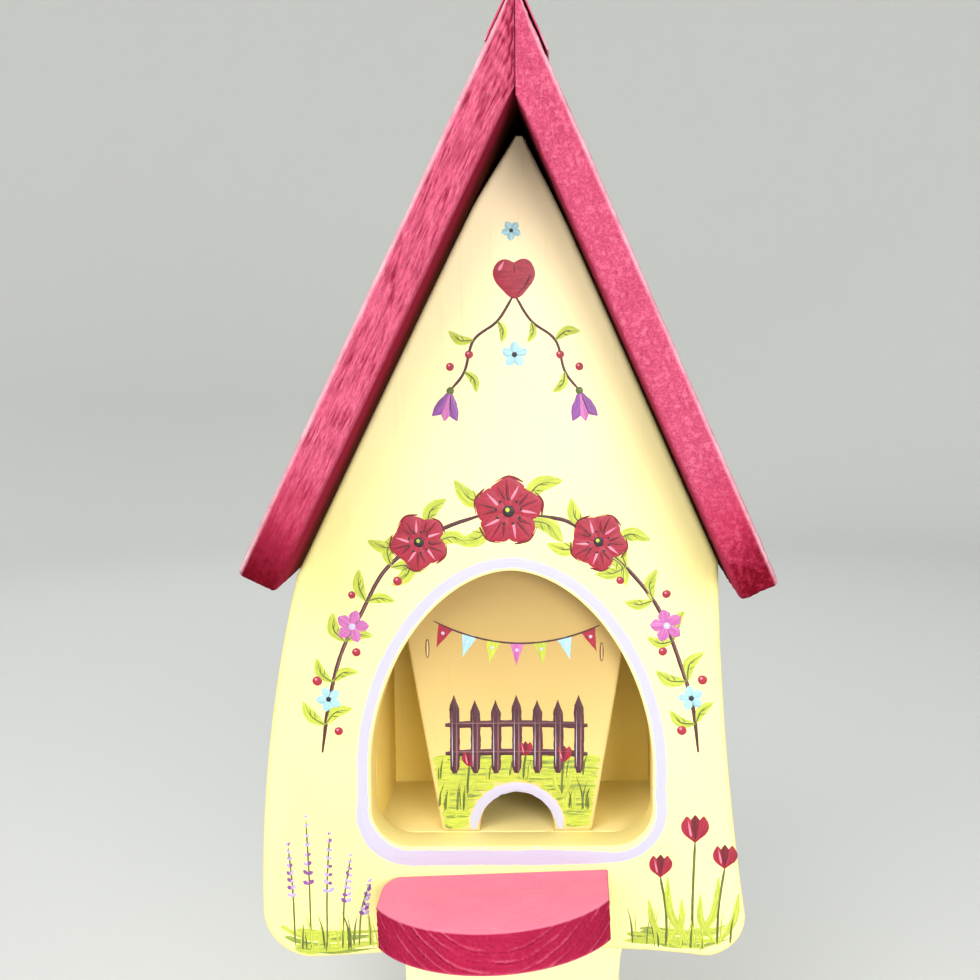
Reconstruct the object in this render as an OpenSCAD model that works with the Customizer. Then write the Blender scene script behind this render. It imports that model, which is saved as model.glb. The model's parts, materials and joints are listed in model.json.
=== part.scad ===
// Wooden bird feeder with a steep roof, an arched feeding opening and a seed hopper.
// The back board runs down into a tongue that is screwed to a post, a wall or a tree.
// X runs across the front, -Y is the front and +Z is up. The origin lies on the back
// board's rear face, on the middle of the house and level with the tongue's screw holes.

/* [Boards] */
// Thickness of the front, back, side and floor boards
board = 18; // [14:1:20]
// Clear width of the box between its side boards
box_w = 125; // [112:1:128]
// Clear depth of the box between the front and back boards
box_depth = 70; // [50:1:80]
// Height of the floor's top face above the foot of the front board
sill_h = 51; // [44:1:54]

/* [Front outline] */
// Height of the foot of the front board above the screw holes
base_z = 64; // [60:1:80]
// Reach of the left foot from the middle of the house
base_left = 111; // [104:0.5:114]
// Reach of the right foot from the middle of the house
base_right = 100.5; // [96:0.5:104]
// Reach of the left shoulder, where the board goes under the eave
waist_left = 92.5; // [86:0.5:95]
// Reach of the right shoulder, where the board goes under the eave
waist_right = 87; // [84:0.5:90]
// How far the left edge bows outwards between shoulder and foot
left_bow = 4.5; // [0:0.5:6]
// How far the right edge bows inwards between shoulder and foot
right_bow = 2.5; // [0:0.5:6]
// Radius of the left foot
left_foot_r = 22; // [12:1:26]
// Radius of the right foot
right_foot_r = 18; // [12:1:22]
// Rise of the lower edge between the two feet
foot_arch = 4; // [2:0.5:9]
// Where the lower edge's rise leans to, as a share of the way from the left foot to the right
foot_lean = 0.7; // [0.3:0.05:0.8]
// Half the width of the cut-off peak of the gable
peak_half = 1.5; // [1:0.5:4]
// Gap between the front gable's peak and the roof above it
peak_gap = 9; // [6:0.5:14]
// Half the width at which the gable's edges start to draw in to the peak
peak_reach = 20; // [12:1:30]
// Gap between the gable's edges and the roof above them
gable_gap = 1; // [0.5:0.5:3]

/* [Feeding opening] */
// Width of the opening
arch_w = 122; // [110:1:122]
// Height of the opening above the sill
arch_h = 121.5; // [105:0.5:124]
// Height above the sill where the sides turn into the arch
arch_spring = 35; // [24:1:40]
// How pointed the head of the opening is, where 1 is an ellipse
arch_point = 1.08; // [0.9:0.01:1.3]
// Radius of the lower corners of the opening
arch_corner_r = 17; // [8:1:20]
// Shift of the opening from the middle of the house
arch_shift = -1.5; // [-4:0.5:2]

/* [Seed hopper] */
// Thickness of the hopper's front panel
panel_t = 10; // [8:0.5:14]
// Width of the panel at its feet
panel_foot_w = 67; // [60:1:72]
// Radius of the outer corners of the panel's feet
panel_foot_r = 2; // [0.5:0.5:4]
// Height of the hopper above the floor
hopper_h = 174; // [150:1:176]
// Thickness of the hopper's slanted side boards
hopper_side_t = 15; // [10:0.5:15]
// Width of the seed notch between the feet
notch_w = 33; // [26:1:34]
// Straight height of the notch below its round top
notch_leg = 2; // [0.5:0.5:4]

/* [Perch] */
// Width of the perch along the front board
perch_w = 97; // [80:1:104]
// How far the perch stands out from the front board
perch_depth = 61; // [48:1:70]
// Radius of the perch's round front
perch_r = 55; // [53:1:60]
// Thickness of the perch board
perch_t = 18; // [14:1:20]
// Drop from the sill to the top of the perch
perch_drop = 12; // [9:0.5:16]
// Shift of the perch from the middle of the house
perch_shift = -8.5; // [-12:0.5:4]
// Slope of the perch, its right end higher
perch_slope = 2; // [0:0.5:3]
// Width of the worn rear corner on the left
perch_corner_w = 7; // [4:0.5:10]
// Length of the worn rear corner along the perch's left side
perch_corner_len = 15; // [8:1:20]

/* [Roof] */
// Half of the angle between the two roof boards
roof_half = 25.2; // [24.5:0.1:26]
// Angle by which the roof leans over to the right
roof_lean_angle = 1; // [0:0.1:1.5]
// Shift of the ridge from the middle of the house
ridge_shift = 3.4; // [0:0.2:4]
// Thickness of the roof boards
roof_t = 17; // [14:0.5:18]
// Height of the roof boards' upper edge above the foot of the front board
ridge_h = 404; // [400:1:410]
// Length of the left board down its slope
roof_left_len = 250; // [240:1:260]
// Length of the right board down its slope
roof_right_len = 251; // [240:1:260]
// How far the roof stands out in front of the front board
roof_front = 47; // [40:1:55]
// Gap between the lid and the boards that it closes on
lid_gap = 0.3; // [0.3:0.1:1]
// Thickness of the flexible strip folded over the ridge
strip_t = 1.5; // [1:0.5:3]
// Length of each leg of the strip down the slope
strip_leg = 28; // [20:1:40]

/* [Tongue] */
// Width of the tongue
tongue_w = 108; // [90:1:112]
// Length of the tongue below the foot of the front board
tongue_len = 96; // [88:1:110]
// Shift of the tongue from the middle of the house
tongue_shift = -5.5; // [-8:0.5:2]
// Height of the flared neck between the board and the tongue
neck_h = 52; // [40:1:56]
// Radius of the tongue's lower corners
tongue_r = 24; // [12:1:30]
// Diameter of the screw holes
screw_d = 5; // [4:0.5:6]
// Distance between the screw holes
screw_pitch = 60; // [40:1:70]

/* [Hidden] */
$fn = 96;

// Steps along each curve of an outline
curve_steps = 28;
// Steps round each foot of the hopper's panel
panel_foot_steps = 6;
// Length by which a cutting tool runs past the faces that it cuts
cut_over = 1;

// Depths, from the back face forward
back_in = -board;
front_in = back_in - box_depth;
front_out = front_in - board;
roof_front_y = front_out - roof_front;

// Heights
floor_z = base_z + sill_h;
ridge_z = base_z + ridge_h;
left_half = roof_half + roof_lean_angle;
right_half = roof_half - roof_lean_angle;
strip_apex_z = ridge_z + strip_t / sin(roof_half);
hopper_top_z = floor_z + hopper_h;

box_half = box_w / 2;
hopper_taper = atan((box_w - panel_foot_w) / 2 / hopper_h);

wood = [0.98, 0.94, 0.68];
bare_wood = [0.86, 0.72, 0.46];
red = [0.80, 0.20, 0.33];
strip_red = [0.62, 0.14, 0.24];

// Points of a curve from p0 to p2 that leans towards p1
function curve(p0, p1, p2) =
    [for (i = [0:curve_steps]) let (t = i / curve_steps)
        (1 - t) * (1 - t) * p0 + 2 * t * (1 - t) * p1 + t * t * p2];

// Points of a half egg about c, from right to left over its top
function egg(c, rx, ry, e) =
    [for (i = [0:2 * curve_steps]) let (a = 90 * i / curve_steps)
        c + [rx * sign(cos(a)) * pow(abs(cos(a)), e), ry * pow(abs(sin(a)), e)]];

// Points of an elliptical arc about c, from angle a0 to a1
function arc(c, rx, ry, a0, a1, steps = curve_steps) =
    [for (i = [0:steps]) let (a = a0 + (a1 - a0) * i / steps)
        c + [rx * cos(a), ry * sin(a)]];

// Angle from the upright of the roof board over x
function half_at(x) = x < ridge_shift ? left_half : right_half;

// Height of the roof's lower face at x
function under_z(x) =
    ridge_z - roof_t / sin(half_at(x)) - abs(x - ridge_shift) / tan(half_at(x));

// A point s down a slope to the right of the ridge and n above the outer face
function roof_point(half, s, n) =
    [0, ridge_z] + s * [sin(half), -cos(half)] + n * [cos(half), sin(half)];

// Raises an outline drawn in X and Z and gives it a thickness forward of y
module upright(y, thickness) {
    translate([0, y, 0])
        rotate([90, 0, 0])
            linear_extrude(thickness)
                children();
}

// Edge of a house board from the shoulder down to the start of its foot
function board_side(top, low, bow) = curve(top, (top + low) / 2 + [2 * bow, 0], low);

left_shoulder = [-waist_left, under_z(-waist_left)];
right_shoulder = [waist_right, under_z(waist_right) - lid_gap / sin(right_half)];

// Centres of the round feet
left_foot = [-base_left + left_foot_r, base_z + left_foot_r];
right_foot = [base_right - right_foot_r, base_z + right_foot_r];

left_side = board_side(left_shoulder, [-base_left, left_foot[1]], -left_bow);
right_side = board_side(right_shoulder, [base_right, right_foot[1]], -right_bow);

// A point on a gable's edge, at a distance from the upright line under the ridge
function gable_point(x) = [ridge_shift + x, under_z(ridge_shift + x) - gable_gap];

// Cut-off peak of a gable, from right to left, at a depth below the ridge's lower edge
function peak(gap) =
    [for (x = [peak_half, -peak_half]) [ridge_shift + x, under_z(ridge_shift) - gap]];

function reversed(points) = [for (i = [len(points) - 1:-1:0]) points[i]];

foot_lean_x = left_foot[0] + foot_lean * (right_foot[0] - left_foot[0]);

front_outline = concat(
    [gable_point(peak_reach)],
    peak(peak_gap),
    [gable_point(-peak_reach)],
    left_side,
    arc(left_foot, left_foot_r, left_foot_r, 180, 270),
    curve([left_foot[0], base_z], [foot_lean_x, base_z + 2 * foot_arch], [right_foot[0], base_z]),
    arc(right_foot, right_foot_r, right_foot_r, 270, 360),
    reversed(right_side)
);

// Egg-shaped opening: a slightly pointed head over a box with round lower corners
module arch_outline() {
    half = arch_w / 2;
    spring_z = floor_z + arch_spring;
    corner_x = half - arch_corner_r;
    corner_z = floor_z + arch_corner_r;
    translate([arch_shift, 0])
        polygon(concat(
            egg([0, spring_z], half, arch_h - arch_spring, arch_point),
            arc([-corner_x, corner_z], arch_corner_r, arch_corner_r, 180, 270),
            arc([corner_x, corner_z], arch_corner_r, arch_corner_r, 270, 360)
        ));
}

module front_wall() {
    color(wood)
        upright(front_in, board)
            difference() {
                polygon(front_outline);
                arch_outline();
            }
}

// The back board repeats the front's sides, fills the rear gable up to the roof, and sweeps down into the tongue
tongue_half = tongue_w / 2;
tongue_z = base_z - tongue_len;
neck_z = base_z - neck_h;
left_neck_w = base_left - left_foot_r + tongue_shift - tongue_half;
right_neck_w = base_right - right_foot_r - tongue_shift - tongue_half;

back_outline = concat(
    [gable_point(peak_half), gable_point(-peak_half)],
    left_side,
    arc(left_foot, left_foot_r, left_foot_r, 180, 270),
    arc([left_foot[0], neck_z], left_neck_w, neck_h, 90, 0),
    arc([tongue_shift - tongue_half + tongue_r, tongue_z + tongue_r], tongue_r, tongue_r, 180, 270),
    arc([tongue_shift + tongue_half - tongue_r, tongue_z + tongue_r], tongue_r, tongue_r, 270, 360),
    arc([right_foot[0], neck_z], right_neck_w, neck_h, 180, 90),
    arc(right_foot, right_foot_r, right_foot_r, 270, 360),
    reversed(right_side)
);

module back_wall() {
    color(wood)
        difference() {
            upright(0, board) polygon(back_outline);
            for (side = [-1, 1])
                translate([tongue_shift + side * screw_pitch / 2, cut_over, 0])
                    rotate([90, 0, 0])
                        cylinder(d = screw_d, h = board + 2 * cut_over);
        }
}

// Side board with its top cut to the slope of the roof, less a gap under the lid
module side_wall(side, gap) {
    x_in = side * box_half;
    x_out = side * (box_half + board);
    drop = gap / sin(right_half);
    color(wood)
        upright(back_in, box_depth)
            polygon([
                [x_in, floor_z - board],
                [x_in, under_z(x_in) - drop],
                [x_out, under_z(x_out) - drop],
                [x_out, floor_z - board]
            ]);
}

module left_wall() {
    side_wall(-1, 0);
}

module right_wall() {
    side_wall(1, lid_gap);
}

module floor_board() {
    color(wood)
        translate([-box_half, front_in, floor_z - board])
            cube([box_w, box_depth, board]);
}

// Centre of the panel's round right foot, which touches the floor and the slanted edge
panel_foot = [
    panel_foot_w / 2 + panel_foot_r * ((1 - sin(hopper_taper)) * tan(hopper_taper) - cos(hopper_taper)),
    floor_z + panel_foot_r
];
panel_foot_arc = arc(panel_foot, panel_foot_r, panel_foot_r, 270, 360 - hopper_taper, panel_foot_steps);

// Tapered panel that stands behind the opening and lets seed out through its notch
module hopper_front() {
    color(wood)
        difference() {
            upright(front_in + panel_t, panel_t)
                polygon(concat(
                    panel_foot_arc,
                    [[box_half, hopper_top_z], [-box_half, hopper_top_z]],
                    [for (p = reversed(panel_foot_arc)) [-p[0], p[1]]]
                ));
            translate([0, front_in + panel_t + cut_over, floor_z + notch_leg])
                rotate([90, 0, 0])
                    cylinder(d = notch_w, h = panel_t + 2 * cut_over);
            translate([-notch_w / 2, front_in - cut_over, floor_z - cut_over])
                cube([notch_w, panel_t + 2 * cut_over, notch_leg + cut_over]);
        }
}

// Slanted board behind one edge of the panel, from the floor up to the side board
module hopper_side(side) {
    foot_x = panel_foot_w / 2;
    inward = hopper_side_t / cos(hopper_taper);
    color(bare_wood)
        upright(back_in, box_depth - panel_t)
            polygon([
                [side * foot_x, floor_z],
                [side * box_half, hopper_top_z],
                [side * (box_half - inward), hopper_top_z],
                [side * (foot_x - inward), floor_z]
            ]);
}

module hopper_left_side() {
    hopper_side(-1);
}

module hopper_right_side() {
    hopper_side(1);
}

// Board with a round front and one worn rear corner, drawn flat with the wall along X
// Point on the worn corner's curve, from the perch's left side to its rear edge
function corner_point(turn) = [
    -perch_w / 2 + perch_corner_w * (1 - cos(turn)),
    -perch_corner_len * (1 - sin(turn))
];

module worn_corner() {
    polygon(concat(
        [[-perch_w / 2 - cut_over, cut_over], [-perch_w / 2 - cut_over, -perch_corner_len]],
        [for (i = [0:curve_steps]) corner_point(90 * i / curve_steps)],
        [[-perch_w / 2 + perch_corner_w, cut_over]]
    ));
}

module perch_outline() {
    difference() {
        intersection() {
            translate([0, perch_r - perch_depth]) circle(r = perch_r);
            translate([-perch_w / 2, -perch_depth]) square([perch_w, perch_depth]);
        }
        worn_corner();
    }
}

module perch() {
    color(red)
        translate([perch_shift, front_out, floor_z - perch_drop])
            rotate([0, -perch_slope, 0])
                translate([0, 0, -perch_t])
                    linear_extrude(perch_t)
                        perch_outline();
}

// Roof board on the right of the ridge, with an upright mitre and a square-cut eave
module roof_board(half, length, mitre_gap) {
    upright(0, -roof_front_y)
        intersection() {
            polygon([
                [0, ridge_z],
                roof_point(half, length, 0),
                roof_point(half, length, -roof_t),
                [0, ridge_z - roof_t / sin(half)]
            ]);
            translate([mitre_gap, 0]) square([ridge_z, ridge_z + strip_t]);
        }
}

module roof_left() {
    color(red)
        translate([ridge_shift, 0, 0])
            mirror([1, 0, 0])
                roof_board(left_half, roof_left_len, 0);
}

module roof_lid() {
    color(red)
        translate([ridge_shift, 0, 0])
            roof_board(right_half, roof_right_len, lid_gap);
}

// One leg of the folded strip, on the right of the ridge
module strip_half(half, mitre_gap) {
    upright(0, -roof_front_y)
        intersection() {
            polygon([
                [0, ridge_z],
                [0, strip_apex_z],
                roof_point(half, strip_leg, strip_t),
                roof_point(half, strip_leg, 0)
            ]);
            translate([mitre_gap, 0]) square([strip_leg, strip_apex_z + strip_t]);
        }
}

module strip_left() {
    color(strip_red)
        translate([ridge_shift, 0, 0])
            mirror([1, 0, 0])
                strip_half(left_half, 0);
}

module strip_lid() {
    color(strip_red)
        translate([ridge_shift, 0, 0])
            strip_half(right_half, lid_gap);
}

back_wall();
front_wall();
left_wall();
right_wall();
floor_board();
hopper_front();
hopper_left_side();
hopper_right_side();
perch();
roof_left();
roof_lid();
strip_left();
strip_lid();
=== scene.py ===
"""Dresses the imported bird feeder: worn boards with grain, brushed paint, strip, tacks and staples."""
import json
import math
import random

import bmesh
import bpy
from mathutils import Matrix, Vector, noise
from mathutils.geometry import tessellate_polygon


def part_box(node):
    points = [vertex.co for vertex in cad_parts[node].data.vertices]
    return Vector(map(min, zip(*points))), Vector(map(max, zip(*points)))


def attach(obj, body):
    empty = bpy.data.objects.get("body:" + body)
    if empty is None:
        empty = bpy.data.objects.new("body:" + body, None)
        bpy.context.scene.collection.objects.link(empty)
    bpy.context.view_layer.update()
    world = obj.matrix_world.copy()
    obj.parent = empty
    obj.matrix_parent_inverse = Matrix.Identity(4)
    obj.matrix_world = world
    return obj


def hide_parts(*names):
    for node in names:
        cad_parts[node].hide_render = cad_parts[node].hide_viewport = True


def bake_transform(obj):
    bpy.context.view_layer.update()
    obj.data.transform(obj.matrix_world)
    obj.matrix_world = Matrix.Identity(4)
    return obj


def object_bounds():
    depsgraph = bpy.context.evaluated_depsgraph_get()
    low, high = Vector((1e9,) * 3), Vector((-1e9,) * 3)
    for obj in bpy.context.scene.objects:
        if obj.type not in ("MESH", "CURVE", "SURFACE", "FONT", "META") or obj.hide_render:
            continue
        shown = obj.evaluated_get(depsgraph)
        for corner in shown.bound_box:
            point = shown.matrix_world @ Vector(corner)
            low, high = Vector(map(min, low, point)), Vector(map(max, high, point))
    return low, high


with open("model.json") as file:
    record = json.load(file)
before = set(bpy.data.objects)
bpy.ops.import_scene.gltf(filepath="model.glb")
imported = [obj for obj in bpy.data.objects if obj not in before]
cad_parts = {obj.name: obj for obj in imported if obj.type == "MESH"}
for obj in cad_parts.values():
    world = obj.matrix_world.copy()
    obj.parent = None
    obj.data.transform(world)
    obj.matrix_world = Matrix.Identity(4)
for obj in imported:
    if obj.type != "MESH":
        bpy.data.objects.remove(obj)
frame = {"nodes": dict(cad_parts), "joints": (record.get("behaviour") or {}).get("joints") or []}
cad_low, cad_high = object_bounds()
NODES = frame["nodes"]
MM = 0.001
FRONT = Vector((0, -1, 0))
ACROSS = Vector((1, 0, 0))
UPWARD = Vector((0, 0, 1))

# Places taken from the frame
FRONT_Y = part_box("front_wall")[0].y
PANEL_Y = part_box("hopper_front")[0].y
FLOOR_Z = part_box("floor_board")[1].z
SILL_H = 51 * MM
FOOT_Z = FLOOR_Z - SILL_H
PERCH_LOW, PERCH_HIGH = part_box("perch")
HINGE_AT = Vector(frame["joints"][0]["pos_m"])

# Arris radii, in metres
WALL_ARRIS = 2.6 * MM
INNER_ARRIS = 1.0 * MM
HOLE_ARRIS = 1.0 * MM
PANEL_ARRIS = 1.3 * MM
PERCH_ARRIS = 0.9 * MM
ROOF_ARRIS = 2.4 * MM
# Ring of points beside an arris that keeps the flat face flat
SUPPORT = 0.6 * MM
# Near a board's peak the inset of its arris eases off over this reach, down to this share
PEAK_REACH = 16 * MM
PEAK_EASE = 0.25

# Turn from which an outline has a corner
SHARP_TURN = math.radians(18)

# Perch's growth rings, in millimetres: their middle, from its top and its middle, and the rings' spacing
PITH_ABOVE = 27
PITH_ASIDE = 2
RING_STEP = 4.4
RING_START = 36.6

# Camera, fitted to the photograph's 980 by 980 frame, whose optical centre lies right of its middle
PHOTO_SIZE = 980
FOCAL_PX = 1400
CENTRE_PX = 566
CAMERA_AT = Vector((22.3, -692.5, 341.0)) * MM
CAMERA_PITCH = math.radians(6.80)
CAMERA_ROLL = math.radians(-0.16)
SENSOR_MM = 36


def make_camera():
    data = bpy.data.cameras.new("photo_camera")
    data.sensor_width = SENSOR_MM
    data.lens = FOCAL_PX / PHOTO_SIZE * SENSOR_MM
    data.shift_x = (PHOTO_SIZE / 2 - CENTRE_PX) / PHOTO_SIZE
    data.clip_start = 0.01
    data.clip_end = 50
    camera = bpy.data.objects.new("photo_camera", data)
    turn = Matrix.Rotation(math.pi / 2 - CAMERA_PITCH, 4, "X") @ Matrix.Rotation(CAMERA_ROLL, 4, "Z")
    camera.matrix_world = Matrix.Translation(CAMERA_AT) @ turn
    bpy.context.scene.collection.objects.link(camera)
    bpy.context.scene.camera = camera


LIGHT_TARGET = Vector((0, 0, 0.2))


def area_light(name, at, size, watts, colour):
    data = bpy.data.lights.new(name, "AREA")
    data.shape = "DISK"
    data.size = size
    data.energy = watts
    data.color = colour
    light = bpy.data.objects.new(name, data)
    light.location = at
    light.rotation_mode = "QUATERNION"
    light.rotation_quaternion = (LIGHT_TARGET - Vector(at)).to_track_quat("-Z", "Y")
    bpy.context.scene.collection.objects.link(light)


# Materials
def linear(hex_colour):
    """Linear RGBA from an sRGB hex colour."""
    parts = [int(hex_colour[i:i + 2], 16) / 255 for i in (0, 2, 4)]
    curve = [c / 12.92 if c <= 0.04045 else ((c + 0.055) / 1.055) ** 2.4 for c in parts]
    return (*curve, 1.0)


class Look:
    """A material, with short calls that add its nodes."""

    def __init__(self, name, roughness, specular=0.4):
        self.material = bpy.data.materials.new(name)
        self.material.use_nodes = True
        self.tree = self.material.node_tree
        self.shader = self.tree.nodes["Principled BSDF"]
        self.shader.inputs["Roughness"].default_value = roughness
        self.shader.inputs["Specular IOR Level"].default_value = specular

    def add(self, kind, inputs=None, **settings):
        """Adds a node with its settings, and feeds its inputs."""
        node = self.tree.nodes.new(kind)
        for key, value in settings.items():
            setattr(node, key, value)
        for key, value in (inputs or {}).items():
            self.feed(value, node.inputs[key])
        return node

    def feed(self, value, socket):
        """Joins a socket to an input, or sets the input to a plain value or a hex colour."""
        if isinstance(value, bpy.types.NodeSocket):
            self.tree.links.new(value, socket)
        else:
            socket.default_value = linear(value) if isinstance(value, str) else value

    def place(self, scale, source=None):
        """Object coordinates in metres, or a stored vector, times a scale on each axis."""
        if source:
            start = self.add("ShaderNodeAttribute", attribute_name=source).outputs["Vector"]
        else:
            start = self.add("ShaderNodeTexCoord").outputs["Object"]
        return self.add("ShaderNodeMapping", {"Vector": start, "Scale": scale}).outputs["Vector"]

    def noise(self, scale, detail, roughness, source=None):
        place = self.place(scale, source)
        inputs = {"Vector": place, "Scale": 1, "Detail": detail, "Roughness": roughness}
        return self.add("ShaderNodeTexNoise", inputs).outputs["Fac"]

    def attribute(self, name):
        return self.add("ShaderNodeAttribute", attribute_name=name).outputs["Fac"]

    def reach(self, value, start, end, low=0.0, high=1.0):
        """Maps start..end to low..high and stops there."""
        inputs = {"Value": value, "From Min": start, "From Max": end, "To Min": low, "To Max": high}
        return self.add("ShaderNodeMapRange", inputs).outputs["Result"]

    def math(self, operation, a, b):
        return self.add("ShaderNodeMath", {0: a, 1: b}, operation=operation).outputs["Value"]

    def mix(self, amount, first, second):
        """Two colours mixed; the mix node's colour sockets go by number."""
        node = self.add("ShaderNodeMix", {"Factor": amount, 6: first, 7: second}, data_type="RGBA")
        return node.outputs[2]

    def tint(self, colour, other, value, start, end, most=1.0):
        """Lays other over colour: none of it where value is at start, a share of most at end."""
        return self.mix(self.reach(value, start, end, 0, most), colour, other)

    def colour(self, value):
        self.feed(value, self.shader.inputs["Base Color"])

    def roughness(self, value):
        self.feed(value, self.shader.inputs["Roughness"])

    def bump(self, height, strength, distance, below=None):
        inputs = {"Strength": strength, "Distance": distance, "Height": height}
        if below is not None:
            inputs["Normal"] = below
        normal = self.add("ShaderNodeBump", inputs).outputs["Normal"]
        self.feed(normal, self.shader.inputs["Normal"])
        return normal


def cream_paint(name, body, shade, worn, rubbing=0.35, other=None):
    """Brushed satin paint over vertical grain, thin on the arrises."""
    look = Look(name, 0.5, 0.3)
    grain = look.noise((420, 420, 14), 6, 0.6)
    patch = look.noise((16, 16, 10), 3, 0.5)
    colour = look.tint(body, shade, patch, 0.35, 0.7)
    # The other colour, mixed in where a board is marked, paints light and shade: paler outer faces over the
    # warm shaded copy inside, shade on the panel's top and a pink reflection on the gable
    if other:
        colour = look.mix(look.attribute("other"), colour, other)
    colour = look.tint(colour, worn, grain, 0.58, 0.8, 0.16)
    speckle = look.noise((260, 260, 160), 4, 0.6)
    rubbed = look.math("MULTIPLY", look.attribute("wear"), look.reach(speckle, 0.5, 0.66))
    colour = look.mix(look.math("MULTIPLY", rubbed, rubbing), colour, worn)
    look.colour(colour)
    look.roughness(look.reach(patch, 0.3, 0.7, 0.42, 0.58))
    first = look.bump(grain, 0.25, 0.0004)
    look.bump(look.noise((1500, 1500, 900), 2, 0.5), 0.08, 0.0003, first)
    return look.material


# Red that darkens towards the eaves, part way and then fully, and the dark brown of the painted shade far
# back underneath, near the wall
EAVE_DARK_RED = "b42a4a"
EAVE_DARKEST_RED = "6e0e1e"
UNDER_SHADE_BROWN = "4a221b"


def red_paint(name, body, deep, pale, pebble=0.2, rubbing=0.85, top=None, streaks=0.0, shade=None):
    """Raspberry paint, darker towards the eaves: painted shade in the grooves, hollows and underneath,
    painted highlights on crests, ridges and the perch's top, and arrises rubbed pale, which on the roof's
    outer arrises and the strip's edge is painted highlight too.
    """
    look = Look(name, 0.65, 0.0)
    cloud = look.noise((60, 60, 60), 4, 0.55)
    speck = look.noise((520, 520, 520), 5, 0.68)
    colour = look.tint(body, deep, cloud, 0.3, 0.75, 0.25)
    line = look.math("ABSOLUTE", look.math("SUBTRACT", speck, 0.47), 0.0)
    colour = look.tint(colour, deep, line, 0.045, 0.0, pebble * 2)
    # Pale flecks on the speck's crests: mottle, and a painted highlight where the speck also gives the bump
    colour = look.tint(colour, pale, speck, 0.54, 0.7, pebble * 0.6)
    height = speck
    if streaks:
        height = look.noise((0.26, 1.35, 0.4), 4, 0.68, source="grain")
        # Dark in the hollows and pale on the ridges of the streaked relief: painted shade and painted
        # highlight
        colour = look.tint(colour, deep, height, 0.48, 0.34, streaks)
        colour = look.tint(colour, pale, height, 0.55, 0.7, streaks * 0.6)
    # Deep red in the carved grooves is painted shade; on the perch, pale on the raised rings is a painted
    # highlight
    groove = look.attribute("groove")
    if top:
        colour = look.tint(colour, deep, groove, 0.6, 0.95, 0.8)
        colour = look.tint(colour, pale, groove, 0.4, 0.05, 0.4)
    else:
        colour = look.tint(colour, deep, groove, 0.25, 0.9, 0.9)
    if shade:
        spread = 0.08 if streaks else 0.25
        patches = look.reach(speck, 0.3, 0.7, 1 + spread, 1 - spread)
        # Darker towards the eaves, in patches
        eave_darkening = look.math("MULTIPLY", look.attribute("eave_darkening"), patches)
        colour = look.tint(colour, EAVE_DARK_RED, eave_darkening, 0.0, 0.75, 0.9)
        colour = look.tint(colour, EAVE_DARKEST_RED, eave_darkening, 0.55, 1.0)
        # Painted shade underneath: a darker red on the underside, then dark brown further back towards the
        # wall
        colour = look.mix(look.attribute("under"), colour, shade)
        colour = look.mix(look.attribute("far_underside_shade"), colour, UNDER_SHADE_BROWN)
    # Pale on the marked arrises: rubbed paint, and on the roof's outer arrises and the strip's left edge
    # also a painted highlight
    thin = look.reach(look.noise((120, 120, 120), 3, 0.6), 0.3, 0.6, rubbing * 0.5, rubbing)
    colour = look.mix(look.math("MULTIPLY", look.attribute("wear"), thin), colour, pale)
    # The perch's upward face takes a lighter pink: a painted highlight of the light from above
    if top:
        smooth = look.tint(top[0], top[1], cloud, 0.3, 0.75)
        colour = look.mix(look.attribute("top"), colour, smooth)
    look.colour(colour)
    look.roughness(look.reach(speck, 0.3, 0.7, 0.58, 0.75))
    first = look.bump(height, 0.35 if top else 1.0, 0.002)
    look.bump(look.noise((1700, 1700, 1700), 2, 0.5), 0.12, 0.0003, first)
    return look.material


def brush_paint(name, body, deep, dry, cover=0.35):
    """Thick hand-laid paint with bristle streaks along each stroke."""
    look = Look(name, 0.45, 0.4)
    streak = look.noise((0.10, 1.5, 7.0), 4, 0.6, source="brush")
    fleck = look.noise((0.5, 3.2, 3.0), 3, 0.6, source="brush")
    colour = look.tint(body, deep, streak, 0.38, 0.62)
    colour = look.tint(colour, dry, fleck, 0.55, 0.72, cover)
    look.colour(colour)
    look.bump(streak, 0.3, 0.0003)
    return look.material


def metal(name, body, tarnish):
    """Wire and nail heads, dulled."""
    look = Look(name, 0.45, 0.5)
    spots = look.noise((900, 900, 900), 4, 0.6)
    look.colour(look.tint(body, tarnish, spots, 0.4, 0.65))
    look.roughness(look.reach(spots, 0.4, 0.65, 0.35, 0.7))
    look.shader.inputs["Metallic"].default_value = 0.6
    look.bump(spots, 0.2, 0.0002)
    return look.material


# Meshes
def make_mesh(name, points, faces, material):
    mesh = bpy.data.meshes.new(name)
    mesh.from_pydata([tuple(p) for p in points], [], faces)
    shape = bmesh.new()
    shape.from_mesh(mesh)
    bmesh.ops.recalc_face_normals(shape, faces=shape.faces)
    shape.to_mesh(mesh)
    shape.free()
    mesh.shade_smooth()
    mesh.set_sharp_from_angle(angle=math.radians(50))
    mesh.materials.append(material)
    piece = bpy.data.objects.new(name, mesh)
    bpy.context.scene.collection.objects.link(piece)
    return piece


def make_piece(name, points, faces, material, body, nodes=()):
    piece = make_mesh(name, points, faces, material)
    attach(piece, body)
    if nodes:
        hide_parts(*nodes)
    return piece


def rise(value, start, end):
    """Nought up to start, one from end on."""
    return min(1.0, max(0.0, (value - start) / (end - start)))


def waver(x, y, z):
    """Smooth noise round nought."""
    return noise.noise(Vector((x, y, z)))


def y_span(node):
    """Front and rear of a node."""
    low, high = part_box(node)
    return low.y, high.y


def ring_faces(start, count, rows):
    """Faces between closed rings of points, each ring count points long."""
    faces = []
    for row in range(rows):
        low = start + row * count
        for i in range(count):
            j = (i + 1) % count
            faces.append((low + i, low + j, low + count + j, low + count + i))
    return faces


def dome_faces(start, sides, rings, top):
    """Faces of a closed dome: rings of points, a fan to its top and a flat underside."""
    last = start + (rings - 1) * sides
    faces = ring_faces(start, sides, rings - 1)
    faces += [(last + i, last + (i + 1) % sides, top) for i in range(sides)]
    faces.append(tuple(start + i for i in reversed(range(sides))))
    return faces


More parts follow.
